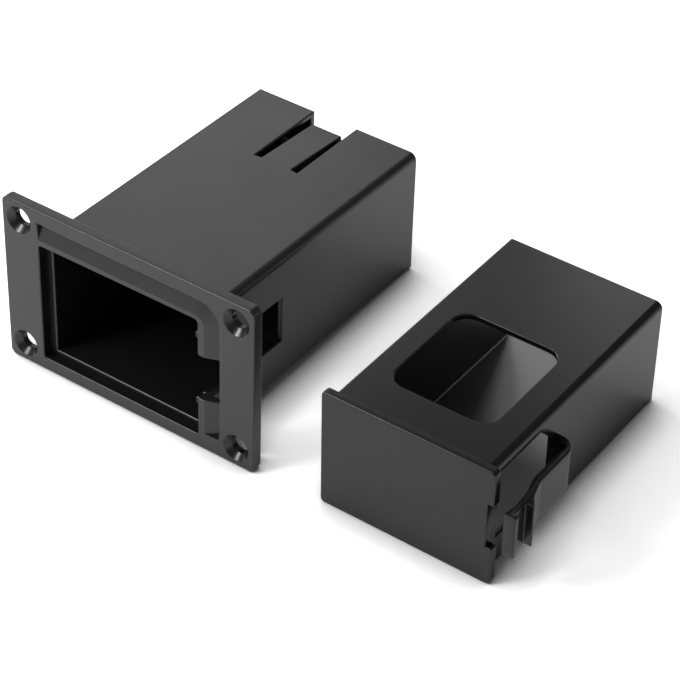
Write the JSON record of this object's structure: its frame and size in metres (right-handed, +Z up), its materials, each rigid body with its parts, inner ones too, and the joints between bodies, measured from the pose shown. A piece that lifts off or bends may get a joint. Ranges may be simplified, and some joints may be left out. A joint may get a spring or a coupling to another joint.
{
  "type": "panel battery holder",
  "caption": "Flanged panel-mount battery compartment with its pull-out drawer standing beside it, the drawer with a sprung side latch.",
  "frame": {"origin": "centre of the four screw holes, on the flange's back face, which seats on the panel", "axes": "+X to the right seen from the front, +Y back into the tube and the panel, +Z up"},
  "size_m": [0.0993, 0.0624, 0.032],
  "materials": {
    "housing_plastic": "black moulded plastic with a fine satin grain",
    "drawer_plastic": "black moulded plastic with a fine satin grain",
    "contact_plate": "nickel-plated spring steel strip",
    "lug_tin": "tin-plated steel strip",
    "rivet_brass": "plain drawn brass"
  },
  "bodies": {
    "root": {"housing": "housing_plastic", "contact_positive": "contact_plate", "contact_negative": "contact_plate", "solder_lug_positive": "lug_tin", "solder_lug_negative": "lug_tin", "contact_rivets": "rivet_brass", "drawer": "drawer_plastic"},
    "latch": {"drawer_latch": "drawer_plastic"}
  },
  "joints": [
    {"name": "latch_press", "type": "hinge", "parent": "root", "child": "latch", "pos_m": [0.06857, 0.01836, -0.00384], "axis": [0, 0.0263, -0.9997], "range_deg": [0, 6], "stiffness_Nm_per_rad": 0.3}
  ]
}
